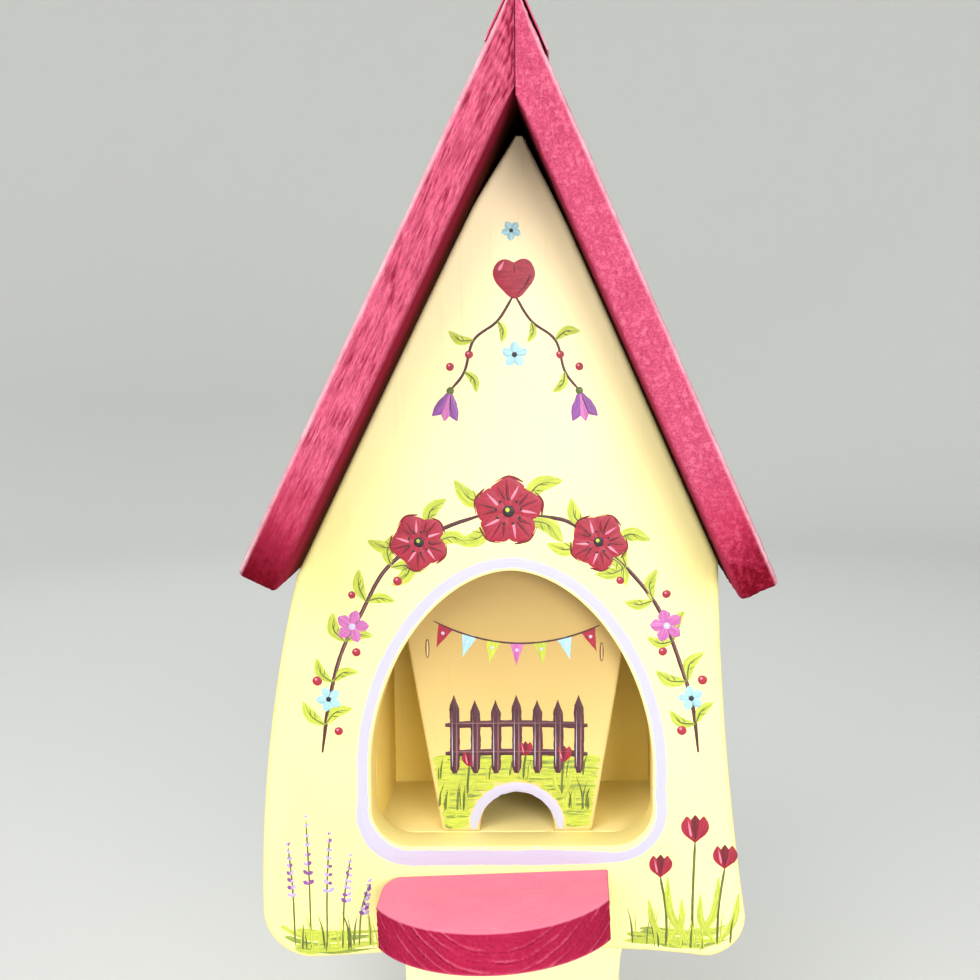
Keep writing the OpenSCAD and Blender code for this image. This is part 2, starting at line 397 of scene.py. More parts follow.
def point_values(piece, name, values):
    layer = piece.data.attributes.new(name, "FLOAT", "POINT")
    layer.data.foreach_set("value", values)


def mark(piece, name, rule):
    """Stores what a rule gives for each point of a piece."""
    point_values(piece, name, [rule(v) for v in piece.data.vertices])


def point_vectors(piece, name, values):
    layer = piece.data.attributes.new(name, "FLOAT_VECTOR", "POINT")
    layer.data.foreach_set("vector", [part for value in values for part in value])


def cap_loops(node, normal):
    """Closed outlines of the node's flat end that faces along normal, material on the left."""
    mesh = NODES[node].data
    far = max(v.co.dot(normal) for v in mesh.vertices)
    edges = set()
    for face in mesh.polygons:
        corners = [mesh.vertices[i].co for i in face.vertices]
        if min(c.dot(normal) for c in corners) < far - 0.01 * MM:
            continue
        keys = [tuple(round(value, 6) for value in c) for c in corners]
        edges.update(zip(keys, keys[1:] + keys[:1]))
    after = {a: b for a, b in edges if (b, a) not in edges}
    loops = []
    while after:
        start = min(after)
        loop = [start]
        here = after.pop(start)
        while here != start:
            loop.append(here)
            here = after.pop(here)
        loops.append([Vector(p) for p in loop])
    return sorted(loops, key=len, reverse=True)


def neighbours(loop):
    return zip(loop[-1:] + loop[:-1], loop, loop[1:] + loop[:1])


def inset_loop(loop, distance, easing=None):
    """Moves a flat closed outline to its left by distance, times the easing at each point."""
    moved = []
    for i, (before, here, after) in enumerate(neighbours(loop)):
        a = (here - before).normalized()
        b = (after - here).normalized()
        left = Vector((-a.y - b.y, a.x + b.x))
        amount = distance * easing[i] if easing else distance
        moved.append(here + left * (amount / max(1 + a.dot(b), 0.3)))
    return moved


def spline(before, here, after, beyond, t):
    """A point on the smooth curve that passes through four points, between the middle two."""
    return 0.5 * (
        2 * here
        + (after - before) * t
        + (2 * before - 5 * here + 4 * after - beyond) * t * t
        + (3 * here - before - 3 * after + beyond) * t * t * t
    )


def is_corner(before, here, after):
    return (here - before).angle(after - here) > SHARP_TURN


def divide_loop(loop, step):
    """Adds points so that no stretch is longer than step, on a curve where the outline turns gently."""
    count = len(loop)
    low = Vector((min(p.x for p in loop), min(p.y for p in loop)))
    high = Vector((max(p.x for p in loop), max(p.y for p in loop)))
    points = []
    for i, here in enumerate(loop):
        before, after, beyond = loop[i - 1], loop[(i + 1) % count], loop[(i + 2) % count]
        stretch = (after - here).length
        back = here - after if is_corner(before, here, after) else before - here
        ahead = after - here if is_corner(here, after, beyond) else beyond - after
        before = here + back * min(1.0, stretch / back.length)
        beyond = after + ahead * min(1.0, stretch / ahead.length)
        pieces = max(1, math.ceil(stretch / step))
        for k in range(pieces):
            p = spline(before, here, after, beyond, k / pieces)
            points.append(Vector((min(max(p.x, low.x), high.x), min(max(p.y, low.y), high.y))))
    return points


def drop_straight(loop):
    """Leaves out points that lie on a straight stretch."""
    kept = []
    for before, here, after in neighbours(loop):
        if abs((here - before).normalized().cross((after - here).normalized())) > 1e-4:
            kept.append(here)
    return kept


def arris_rings(depth, front_radius, back_radius, side_steps, steps=4):
    """Rows of (inset, depth, wear) from the front cap, round both arrises, to the back cap."""
    rings = [(front_radius + SUPPORT, 0.0, 0.0)]
    for i in range(steps + 1):
        turn = math.pi / 2 * i / steps
        rings.append((front_radius * (1 - math.sin(turn)), front_radius * (1 - math.cos(turn)),
                      math.sin(2 * turn)))
    for i in range(1, side_steps):
        along = i / side_steps
        rings.append((0.0, front_radius + along * (depth - front_radius - back_radius), 0.0))
    for i in range(steps + 1):
        turn = math.pi / 2 * i / steps
        rings.append((back_radius * (1 - math.cos(turn)), depth - back_radius * (1 - math.sin(turn)),
                      math.sin(2 * turn)))
    rings.append((back_radius + SUPPORT, depth, 0.0))
    return rings


def board(name, node, material, normal=FRONT, across=ACROSS, up=UPWARD, step=4 * MM,
          front_radius=INNER_ARRIS, back_radius=INNER_ARRIS, hole_radius=None, side_steps=2, peaked=False):
    """A board with rounded arrises on the outline of its node's flat end."""
    heights = [v.co.dot(normal) for v in NODES[node].data.vertices]
    depth = max(heights) - min(heights)
    loops = []
    for loop in cap_loops(node, normal):
        flat = [Vector((p.dot(across), p.dot(up))) for p in loop]
        loops.append(divide_loop(drop_straight(flat), step))
    points = []
    wear = []
    faces = []
    first_cap = []
    last_cap = []
    for number, loop in enumerate(loops):
        radius = hole_radius if number and hole_radius else front_radius
        rings = arris_rings(depth, radius, back_radius, side_steps)
        start = len(points)
        count = len(loop)
        tip = max(p.y for p in loop)
        easing = None
        if peaked and not number:
            easing = [min(1.0, PEAK_EASE + (tip - p.y) / PEAK_REACH) for p in loop]
        for inset, below, rubbed in rings:
            for p in inset_loop(loop, inset, easing):
                points.append(across * p.x + up * p.y + normal * (max(heights) - below))
                wear.append(rubbed)
        faces += ring_faces(start, count, len(rings) - 1)
        first_cap.append(list(range(start, start + count)))
        last_cap.append(list(range(len(points) - count, len(points))))
    for cap in (first_cap, last_cap):
        flat = [[Vector((points[i].dot(across), points[i].dot(up), 0)) for i in loop] for loop in cap]
        order = [i for loop in cap for i in loop]
        faces += [tuple(order[i] for i in corner) for corner in tessellate_polygon(flat)]
    piece = make_piece(name, points, faces, material, "house", (node,))
    point_values(piece, "wear", wear)
    return piece


def carve(piece, depth_at):
    """Sinks each point along its normal by depth_at(point, normal), and keeps the depth as groove."""
    mesh = piece.data
    depths = [depth_at(v.co.copy(), v.normal.copy()) for v in mesh.vertices]
    moved = [v.co - v.normal * d for v, d in zip(mesh.vertices, depths)]
    deepest = max(max(depths), 1e-9)
    for vertex, place in zip(mesh.vertices, moved):
        vertex.co = place
    point_values(piece, "groove", [d / deepest for d in depths])
    mesh.update()


def stations(length, radius, step):
    """Places along an edge, close together where the arris turns."""
    turn = [radius * share for share in (0, 0.3, 0.55, 0.8)]
    count = max(1, math.ceil((length - 2 * radius) / step))
    middle = [radius + (length - 2 * radius) * i / count for i in range(count + 1)]
    return turn + middle + [length - t for t in reversed(turn)]


def box_surface(counts):
    """Lattice points on the surface of a box, and its faces."""
    index = {}
    faces = []

    def corner(key):
        return index.setdefault(key, len(index))

    for axis in range(3):
        first, second = [a for a in range(3) if a != axis]
        for end in (0, counts[axis] - 1):
            for i in range(counts[first] - 1):
                for j in range(counts[second] - 1):
                    face = []
                    for step_i, step_j in ((0, 0), (1, 0), (1, 1), (0, 1)):
                        key = [0, 0, 0]
                        key[axis] = end
                        key[first] = i + step_i
                        key[second] = j + step_j
                        face.append(corner(tuple(key)))
                    faces.append(tuple(face))
    return list(index), faces


# Steps of the roof boards' surface down the slope, through the board and along the ridge
ROOF_STEPS = (1.3 * MM, 0.3 * MM, 2.5 * MM)
DEEPEST_GRAIN = 0.9 * MM
# Share of the arris at the mitre, and where it is full; radius of the eave's corner
MITRE_ARRIS = 0.06
MITRE_REACH = 14 * MM
EAVE_CORNER_R = 3.5 * MM
# How far up from the eave the red starts to darken, and where it is darkest
EAVE_DARK_REACH = 64 * MM
EAVE_DARKEST_END = 4 * MM
# Shares of the overhang between which the underside darkens from red to the dark brown of painted shade,
# towards the wall
UNDER_SHADE_START = 0.3
UNDER_SHADE_FULL = 0.75


def round_eave(place, length):
    """Rounds off the outer corner of the eave, as seen from the front."""
    along = place.x - (length - EAVE_CORNER_R)
    across = place.y - EAVE_CORNER_R
    reach = math.hypot(along, across)
    if along > 0 and across < 0 and reach > EAVE_CORNER_R:
        place.x = length - EAVE_CORNER_R + along * EAVE_CORNER_R / reach
        place.y = EAVE_CORNER_R + across * EAVE_CORNER_R / reach


def roof_board(name, node, side, material, body, relief):
    """A roof board: a mitred plank with worn arrises and grain that runs down the slope."""
    loop = cap_loops(node, FRONT)[0]
    peak = max(loop, key=lambda p: p.z)
    eave_inner = min(loop, key=lambda p: p.z)
    eave_outer = max(loop, key=lambda p: p.x * side)
    peak_inner = next(p for p in loop if p not in (peak, eave_inner, eave_outer))
    down = (eave_outer - peak).normalized()
    inward = (eave_inner - eave_outer).normalized()
    y_low, y_high = y_span(node)
    sizes = ((eave_outer - peak).length, (eave_inner - eave_outer).length, y_high - y_low)
    mitre = sizes[0] - (eave_inner - peak_inner).length
    rows = [stations(size, ROOF_ARRIS, step) for size, step in zip(sizes, ROOF_STEPS)]
    keys, faces = box_surface([len(row) for row in rows])
    points = []
    grain = []
    values = {attribute: [] for attribute in ("wear", "groove", "under", "far_underside_shade", "eave_darkening")}
    overhang = FRONT_Y - y_low
    for key in keys:
        raw = Vector([row[i] for row, i in zip(rows, key)])
        radius = ROOF_ARRIS * min(1.0, MITRE_ARRIS + raw.x / MITRE_REACH)
        core = Vector([min(max(p, radius), size - radius) for p, size in zip(raw, sizes)])
        outward = (raw - core).normalized()
        depth = relief(raw, outward)
        place = core + outward * (radius - depth)
        if side < 0:
            round_eave(place, sizes[0])
        slide = mitre * place.y / sizes[1] * (1 - place.x / sizes[0])
        spot = peak + down * (place.x + slide) + inward * place.y
        spot.y = y_low + place.z
        points.append(spot)
        grain.append(raw / MM)
        # Only the outer arrises are marked for wear; their pale is rubbed paint and a painted highlight from
        # the light above
        tilt = sorted(abs(value) for value in outward)
        outer = min(1.0, 2 * max(0.0, -outward.y))
        below = max(0.0, outward.y) ** 2
        values["wear"].append(min(1.0, 2 * tilt[1] * tilt[2]) * outer)
        # The grain's depth, which the paint darkens as painted shade
        values["groove"].append(min(1.0, depth / DEEPEST_GRAIN))
        # Underneath the board, and most of all near the wall, the paint is darkened as painted shade
        values["under"].append(below)
        values["far_underside_shade"].append(below * rise(raw.z, overhang * UNDER_SHADE_START, overhang * UNDER_SHADE_FULL))
        values["eave_darkening"].append(rise(raw.x, sizes[0] - EAVE_DARK_REACH, sizes[0] - EAVE_DARKEST_END))
    piece = make_piece(name, points, faces, material, body, (node,))
    for attribute, row in values.items():
        point_values(piece, attribute, row)
    point_vectors(piece, "grain", grain)


def crack(along, across, seed, sharpness):
    """Thin wandering lines along the grain: one on a line, falling to nought beside it."""
    return max(0.0, 1 - sharpness * abs(waver(along, across, seed)))


# Torn fibres at the mitre, in millimetres: how far apart they start and how far down they reach
TORN_PITCH = 4.2
TORN_REACH = 11.0


def rough_grain(place, outward):
    """Short ridges along the sawn front edge, splintered at the mitre, and faint ones on the broad faces."""
    s, n, y = place / MM
    if abs(outward.z) > 0.7:
        bend = 1.2 * waver(s * 0.014, 4.0, 0.0)
        fibre = waver(s * 0.13, n * 1.1 + bend, 3.1)
        lines = crack(s * 0.05, n * 0.75 + bend, 7.7, 3) * (0.6 + waver(s * 0.11, n * 0.3, 2.0))
        hairs = crack(s * 0.15, n * 1.4 + bend, 1.3, 3)
        near = max(0.0, 1 - s / 34)
        chips = waver(s * 0.36 + n * 0.5, s * 0.06 - n * 0.12, 6.0)
        splinter = near * max(0.0, 0.1 + chips)
        slant = (n - s * 0.35 + 2.2 * chips) / TORN_PITCH
        torn = rise(s, TORN_REACH + 4 * chips, 3.0) * (slant % 1.0) ** 2
        depth = 0.2 + 0.24 * fibre + 0.45 * max(0, lines) + 0.2 * hairs + 0.7 * splinter + 0.75 * torn
        return max(0.0, depth) * MM * (abs(outward.z) - 0.7) / 0.3
    ridge = crack(s * 0.01, y * 0.22, n * 0.5 + 9, 4)
    return 0.16 * ridge * MM


def smooth_grain(place, outward):
    """A pebbled face with a faint grain, the same whichever way it looks."""
    s, n, y = place / MM
    pebble = waver(s * 0.5, n * 0.5, y * 0.25 + 5)
    dent = waver(s * 0.16, n * 0.2, y * 0.12 + 8)
    ridge = crack(s * 0.012, n * 0.3 + y * 0.3, 2.0, 4)
    return max(0.0, 0.16 + 0.26 * pebble + 0.12 * dent + 0.12 * ridge) * MM


def growth_rings(point, normal):
    """How deep the perch's sawn round edge lies beside the raised arcs of its growth rings."""
    if abs(normal.z) > 0.6 or normal.y > 0.5:
        return 0.0
    x, y, z = point / MM
    pith_x = (PERCH_LOW.x + PERCH_HIGH.x) / 2 / MM + PITH_ASIDE
    pith_z = PERCH_HIGH.z / MM + PITH_ABOVE
    away = Vector((x - pith_x, z - pith_z)).length
    away += 0.9 * waver(x * 0.06, z * 0.1, 2) + 0.25 * waver(x * 0.3, z * 0.3, 5)
    patchy = 0.75 + 0.9 * waver(x * 0.09, away * 0.3, 8)
    shown = rise(away, RING_START - 2.5, RING_START - 1) * min(1.0, max(0.1, patchy))
    off = abs((away - RING_START + RING_STEP / 2) % RING_STEP - RING_STEP / 2)
    broad = 0.8 + 0.5 * waver(x * 0.12, away * 0.2, 4)
    ridge = max(0.0, 1 - (off / broad) ** 2) * shown
    fine = max(0.0, 1 - abs(away % 1.45 - 0.7) / 0.5) * 0.5 * shown
    trough = max(0.0, 1 - abs(off - broad - 0.4) / 0.5) * shown
    pores = waver(x * 0.9, y * 0.9, z * 0.9)
    depth = 0.34 - 0.26 * max(ridge, fine) + 0.2 * trough + 0.12 * pores
    return max(0.0, depth) * MM * (1 - abs(normal.z) / 0.6)


# Painted design, in millimetres across from the middle of the house and up from its foot
# How far a stroke's rim is sunk in and the stroke stands out, and the step along it
SUNK = 0.06
FIRST_LIFT = 0.04
LAYER_LIFT = 0.05
STROKE_LIFT = 0.001
LIFT_TURNS = 45
BRUSH_STEP = 1.1
FLOOR = (FLOOR_Z - FOOT_Z) / MM


def smooth_path(points, closed=False):
    """Points along a smooth curve through the given ones."""
    points = [Vector(p) for p in points]
    count = len(points)
    path = []
    for i in range(count if closed else count - 1):
        here, after = points[i], points[(i + 1) % count]
        before = points[i - 1] if closed or i else here * 2 - after
        beyond = points[(i + 2) % count] if closed or i + 2 < count else after * 2 - here
        pieces = max(1, math.ceil((after - here).length / BRUSH_STEP))
        path += [spline(before, here, after, beyond, k / pieces) for k in range(pieces)]
    if not closed:
        path.append(points[-1])
    return path


# Widths of a stroke, as shares of its full width, at a share of the way along it
def brush_width(t):
    """A brush pressed down, drawn along and lifted off."""
    return min(1.0, 0.45 + t * 4) * min(1.0, 0.12 + (1 - t) * 1.6)


def leaf_width(t):
    return max(0.05, math.sin(math.pi * min(1.0, t * 0.96 + 0.02)) ** 0.8)


def petal_width(t):
    return max(0.12, math.sin(math.pi * (0.12 + 0.86 * t) ** 1.35))


def even_width(t):
    return min(1.0, 0.5 + 6 * t, 0.5 + 6 * (1 - t))


class Canvas:
    """Brush strokes and dabs on one upright board face, gathered by colour."""

    # Shares of half width and lift across a stroke, and of radius and lift on the rings of a dab
    ACROSS = ((-1.0, 0.0), (-0.7, 0.75), (0.0, 1.0), (0.7, 0.75), (1.0, 0.0))
    RINGS = ((1.0, 0.0), (0.82, 0.8), (0.45, 0.97))

    def __init__(self, name, y):
        self.name = name
        self.y = y
        self.count = 0
        self.layers = {}

    def start(self, colour, layer):
        """Lists to add to, how far the next stroke stands out, in millimetres, and its seed."""
        self.count += 1
        lift = FIRST_LIFT + LAYER_LIFT * layer + STROKE_LIFT * (self.count % LIFT_TURNS)
        return self.layers.setdefault(colour, ([], [], [])), lift, self.count * 0.37

    def spot(self, flat, out):
        """A place in the frame; the rim of a stroke is sunk into the board."""
        return (flat.x * MM, self.y - (out or -SUNK) * MM, FOOT_Z + flat.y * MM)

    def stroke(self, colour, points, width, layer=0, shape=brush_width, closed=False):
        """One stroke along a smooth path; width is a number or a function of the share of the way."""
        (places, faces, brush), lift, seed = self.start(colour, layer)
        path = smooth_path(points, closed)
        rows = len(path)
        first = len(places)
        along = 0.0
        for i, here in enumerate(path):
            before = path[i - 1] if closed or i else here
            after = path[(i + 1) % rows] if closed or i + 1 < rows else here
            way = (after - before).normalized()
            left = Vector((-way.y, way.x))
            share = i / (rows if closed else rows - 1)
            full = width(share) if callable(width) else width
            half = 0.5 * full * (1.0 if closed else shape(share))
            for across, swell in self.ACROSS:
                rough = 1 + 0.16 * waver(along * 0.35, across * 3, seed)
                flat = here + left * (across * half * rough)
                places.append(self.spot(flat, lift * swell))
                brush.append((along, across * half, seed))
            along += (after - here).length
        width_points = len(self.ACROSS)
        for i in range(rows if closed else rows - 1):
            a = first + width_points * i
            b = first + width_points * ((i + 1) % rows)
            faces += [(a + k, b + k, b + k + 1, a + k + 1) for k in range(width_points - 1)]
            faces.append((a, a + width_points - 1, b + width_points - 1, b))
        if not closed:
            last = first + width_points * (rows - 1)
            faces.append(tuple(first + k for k in range(width_points)))
            faces.append(tuple(last + k for k in reversed(range(width_points))))

    def dab(self, colour, centre, outline, layer=0, sides=28):
        """One dab: outline is its radius, in millimetres, or gives it at an angle."""
        (places, faces, brush), lift, seed = self.start(colour, layer)
        first = len(places)
        centre = Vector(centre)
        for share, swell in self.RINGS:
            for i in range(sides):
                angle = 2 * math.pi * i / sides
                way = Vector((math.cos(angle), math.sin(angle)))
                rough = 1 + 0.1 * waver(way.x, way.y, seed)
                radius = outline(angle) if callable(outline) else outline
                offset = way * (radius * share * rough)
                places.append(self.spot(centre + offset, lift * swell))
                brush.append((offset.x * 2, offset.y, seed))
        top = len(places)
        places.append(self.spot(centre, lift))
        brush.append((0.0, 0.0, seed))
        faces += dome_faces(first, sides, len(self.RINGS), top)

    def finish(self, colours):
        """Turns each colour's strokes into one piece."""
        for colour, (places, faces, brush) in self.layers.items():
            name = self.name + "_" + colour
            piece = make_piece(name, places, faces, colours[colour], "house")
            point_vectors(piece, "brush", brush)


def turned(centre, distance, degrees):
    angle = math.radians(degrees)
    return Vector((centre[0] + distance * math.cos(angle), centre[1] + distance * math.sin(angle)))


def leaf(canvas, base, length, degrees, bend=0.18):
    """A lime leaf with an olive rib and a few veins."""
    base = Vector(base)
    tip = turned(base, length, degrees)
    middle = turned((base + tip) / 2, length * bend, degrees + 90)
    canvas.stroke("lime", [base, middle, tip], length * 0.42, 1, leaf_width)
    canvas.stroke("olive", [base, middle, turned(base, length * 0.9, degrees)], 0.8, 2)
    for start, side in ((base.lerp(middle, 0.7), 38), (middle, 32)):
        canvas.stroke("olive", [start, turned(start, length * 0.24, degrees - side)], 0.55, 2)


def berry(canvas, centre, radius):
    canvas.dab("red", centre, radius, 2, 18)
    canvas.dab("pink", turned(centre, radius * 0.4, 125), radius * 0.3, 4, 10)


def petals(canvas, colour, centre, radius, width, spin, layer):
    """Five round petals."""
    for i in range(5):
        degrees = spin + 72 * i
        path = [turned(centre, radius * 0.1, degrees), turned(centre, radius, degrees)]
        canvas.stroke(colour, path, radius * width, layer, petal_width)


def poppy(canvas, centre, radius, spin):
    """Broad overlapping petals round a dark eye."""

    def at(share, degrees):
        return turned(centre, radius * share, degrees)

    petals(canvas, "red", centre, radius, 1.05, spin, 4)
    for i in range(5):
        degrees = spin + 72 * i
        for side, share in ((-22, 0.8), (4, 0.9), (24, 0.75)):
            colour = "pink" if side < 0 else "deep_red"
            streak = [at(0.35, degrees + side * 0.6), at(share, degrees + side)]
            canvas.stroke(colour, streak, radius * 0.11, 6)
        rim = [at(0.94, degrees - 26), at(1.0, degrees), at(0.92, degrees + 26)]
        canvas.stroke("deep_red", rim, radius * 0.07, 6)
    canvas.dab("black", centre, radius * 0.2, 8, 14)
    for i in range(9):
        canvas.dab("black", at(0.36, spin + 40 * i), radius * 0.05, 8, 8)
    canvas.dab("lime", at(0.05, 120), radius * 0.09, 9, 10)


def blossom(canvas, centre, radius, colour, eye, spin):
    """A small flower of round petals."""
    petals(canvas, colour, centre, radius, 0.8, spin, 5)
    canvas.dab(eye, centre, radius * 0.24, 7, 12)


def bellflower(canvas, top, length, degrees):
    """A hanging bell of three petals."""

    def at(share, side):
        return turned(top, length * share, degrees + side)

    for side, colour in ((-24, "purple"), (24, "purple"), (0, "orchid")):
        canvas.stroke(colour, [top, at(0.55, side * 0.7), at(1.0, side)], length * 0.42, 3, petal_width)
    canvas.stroke("black", [at(0.2, 12), at(0.8, 10)], 0.5, 5)
    canvas.dab("olive", top, length * 0.13, 5, 12)


def heart_edge(size):
    """Radius of a heart's outline at an angle from its middle."""
    def edge(angle):
        up = math.sin(angle)
        side = abs(math.cos(angle))
        dent = 0.16 * max(0.0, up) ** 6
        point = 0.14 * max(0.0, -up) ** 5
        return size * (0.47 + 0.06 * side * (1 + up) - dent + point - 0.05 * side * max(0.0, -up))
    return edge


def heart(canvas, centre, size):
    """A heart with a light stroke on one lobe and dark ones along its edge and in its dent."""

    def at(x, z):
        return centre + Vector((x, z)) * size

    canvas.dab("red", centre, heart_edge(size), 4, 48)
    canvas.stroke("deep_red", [at(0.42, 0.0), at(0.27, -0.27), at(0.05, -0.5)], size * 0.08, 6)
    canvas.stroke("deep_red", [at(0.0, 0.24), at(0.02, 0.02)], size * 0.06, 6)
    canvas.stroke("pink", [at(-0.38, 0.1), at(-0.24, 0.32)], size * 0.11, 6)


def tulip(canvas, base, height, lean, size):
    """A stem with two long leaves and a cup of three petals."""
    base = Vector(base)

    def up(aside, share):
        return base + Vector((aside, height * share))

    top = up(lean, 1)
    canvas.stroke("olive", [base, up(lean * 0.2, 0.5), top], 1.3, 1, even_width)
    for side in (-1, 1):
        tip = up(side * height * 0.24 + lean * 0.3, 0.66)
        canvas.stroke("lime", [base, up(side * height * 0.2, 0.3), tip], size * 0.34, 1, leaf_width)
    for side, colour in ((-18, "red"), (18, "red"), (0, "deep_red")):
        petal = [top, turned(top, size * 0.55, 90 + side * 1.5), turned(top, size, 90 + side)]
        canvas.stroke(colour, petal, size * 0.52, 3, petal_width)
    canvas.stroke("pink", [turned(top, size * 0.25, 125), turned(top, size * 0.85, 108)], size * 0.1, 5)


def lavender(canvas, draw, base, height, lean):
    """A stem with rows of small lilac dabs towards its tip."""
    base = Vector(base)
    top = base + Vector((lean, height))
    middle = base + Vector((lean * 0.25, height * 0.55))
    canvas.stroke("olive", [base, middle, top], 0.9, 1, even_width)
    rows = 8
    for i in range(rows):
        share = i / (rows - 1)
        at = base.lerp(top, 0.5 + 0.52 * share)
        spread = 2.6 * (1 - 0.65 * share)
        for side in (-1, 1):
            spot = at + Vector((side * spread * draw.uniform(0.6, 1.0), draw.uniform(-0.8, 0.8)))
            colour = "lilac" if draw.random() < 0.65 else "purple"
            canvas.stroke(colour, [at, spot + Vector((0, 1.6))], 2.3 - share, 3, petal_width)


def grass(canvas, draw, left, right, ground, tallest, count):
    """Upright blades."""
    for _ in range(count):
        x = draw.uniform(left, right)
        height = tallest * draw.uniform(0.45, 1.0)
        lean = draw.uniform(-0.22, 0.22) * height
        z = ground(x) + draw.uniform(-0.5, 2.0)
        colour = "olive" if draw.random() < 0.6 else "lime"
        blade = [(x, z), (x + lean * 0.3, z + height * 0.55), (x + lean, z + height)]
        canvas.stroke(colour, blade, draw.uniform(0.7, 1.3), 2)


def wash(canvas, draw, left, right, ground, depth, count):
    """Loose sideways strokes of lime, thin enough for the cream to show through."""
    for _ in range(count):
        length = draw.uniform(12, 26)
        x = draw.uniform(left, max(left + 0.1, right - length))
        end = min(x + length, right)
        middle = (x + end) / 2
        up = depth * draw.random()
        bend = draw.uniform(-0.6, 0.6)
        colour = "lime" if draw.random() < 0.75 else "moss"
        path = [(x, ground(x) + up), (middle, ground(middle) + up + bend), (end, ground(end) + up)]
        canvas.stroke(colour, path, draw.uniform(1.6, 3.2))


# The front board's foot: where its two rounded corners start, their radii, and the bow between them
LEFT_FOOT, LEFT_FOOT_R = -89.0, 22
RIGHT_FOOT, RIGHT_FOOT_R = 82.5, 18
FOOT_BOW = 16
FOOT_SKEW = 0.4
FOOT_MARGIN = 3


def foot_line(x):
    """Height of the front board's lower edge, with room for its arris."""
    if x < LEFT_FOOT:
        height = LEFT_FOOT_R - math.sqrt(max(0.0, LEFT_FOOT_R ** 2 - (LEFT_FOOT - x) ** 2))
    elif x > RIGHT_FOOT:
        height = RIGHT_FOOT_R - math.sqrt(max(0.0, RIGHT_FOOT_R ** 2 - (x - RIGHT_FOOT) ** 2))
    else:
        share = (x - LEFT_FOOT) / (RIGHT_FOOT - LEFT_FOOT)
        slope = 1 + FOOT_SKEW
        t = (slope - math.sqrt(slope ** 2 - 4 * FOOT_SKEW * share)) / (2 * FOOT_SKEW)
        height = FOOT_BOW * t * (1 - t)
    return height + FOOT_MARGIN


# The half ellipse that the vine over the opening follows
VINE_CENTRE = Vector((-2, 86))
VINE_HALF_W = 81
VINE_H = 112


def vine_point(degrees):
    angle = math.radians(degrees)
    return VINE_CENTRE + Vector((VINE_HALF_W * math.cos(angle), VINE_H * math.sin(angle)))


def garland(canvas, draw):
    """A vine over the opening, with leaves, berries and flowers."""
    for first, last in ((176, 96), (4, 84)):
        stops = [first + (last - first) * i / 7 for i in range(8)]
        path = [vine_point(d) + Vector((draw.uniform(-1.2, 1.2), draw.uniform(-1.2, 1.2))) for d in stops]
        canvas.stroke("plum", path, 2.0, 1, even_width)
        canvas.stroke("rose_brown", [p + Vector((0.3, 0.3)) for p in path[1:-1]], 0.6, 3)
    for i, degrees in enumerate((170, 160, 150, 139, 128, 52, 41, 30, 20, 10)):
        base = vine_point(degrees)
        along = degrees - 90 if degrees > 90 else degrees + 90
        for side in (-48, 52):
            leaf(canvas, base, draw.uniform(11, 14.5), along + side, draw.uniform(0.1, 0.2))
        berry(canvas, turned(base, 6.5, along + (105 if i % 2 else -105)), draw.uniform(1.7, 2.3))
    for degrees in (146, 34):
        blossom(canvas, vine_point(degrees), 7.2, "orchid", "white", degrees)
    for degrees in (164, 16):
        blossom(canvas, vine_point(degrees), 5.6, "sky", "black", degrees * 2)
    for degrees, radius in ((118, 12.5), (62, 12.5), (90, 15)):
        at = vine_point(degrees)
        for side in (-150, -30, 30, 150):
            way = side + degrees - 90
            leaf(canvas, turned(at, radius * 0.5, way), radius * 1.25, way)
        poppy(canvas, at, radius, degrees)


def gable_ornament(canvas):
    """A heart between two stems that end in bellflowers."""
    centre = Vector((1, 297))
    for side in (-1, 1):
        bends = ((0, -8), (7, -19), (17, -27), (21, -40), (27, -48))
        stem = [centre + Vector((side * x, z)) for x, z in bends]
        canvas.stroke("plum", stem, 1.3, 1, even_width)
        bellflower(canvas, stem[-1], 13, -90 + side * 12)
        leaf(canvas, stem[1], 9, -90 - side * 10)
        leaf(canvas, stem[2], 11, 90 - side * 70)
        leaf(canvas, stem[3], 10, -90 - side * 30)
        berry(canvas, stem[2] + Vector((side * 2, -6)), 1.8)
        berry(canvas, stem[3] + Vector((side * 6, 2)), 1.8)
    heart(canvas, centre, 17)
    blossom(canvas, centre + Vector((0, -33)), 5.6, "sky", "black", 18)
    blossom(canvas, centre + Vector((-1, 18)), 4.2, "sky", "black", 50)


def design_outline(loop):
    """An outline of the frame in the design's millimetres."""
    return [Vector((p.x / MM, (p.z - FOOT_Z) / MM)) for p in loop]


# White stripe round the opening: its width and distance, and what it gains towards the sill
STRIPE_W = 5.6
STRIPE_OFF = 3.6
SILL_GAIN = 3.0
SILL_OFF = 5.1
SILL_REACH = 22


def arch_stripe(canvas):
    """A white stripe round the opening, broader and further out along its foot."""
    edge = divide_loop(drop_straight(design_outline(cap_loops("front_wall", FRONT)[1])), 1.0)
    lowness = [max(0.0, 1 - max(0.0, p.y - FLOOR) / SILL_REACH) for p in edge]
    near = inset_loop(edge, STRIPE_OFF)
    far = inset_loop(edge, SILL_OFF)
    band = [a.lerp(b, low) for a, b, low in zip(near, far, lowness)]

    def width_at(t):
        return STRIPE_W + SILL_GAIN * lowness[int(t * len(edge)) % len(edge)]

    canvas.stroke("white", band, width_at, closed=True)


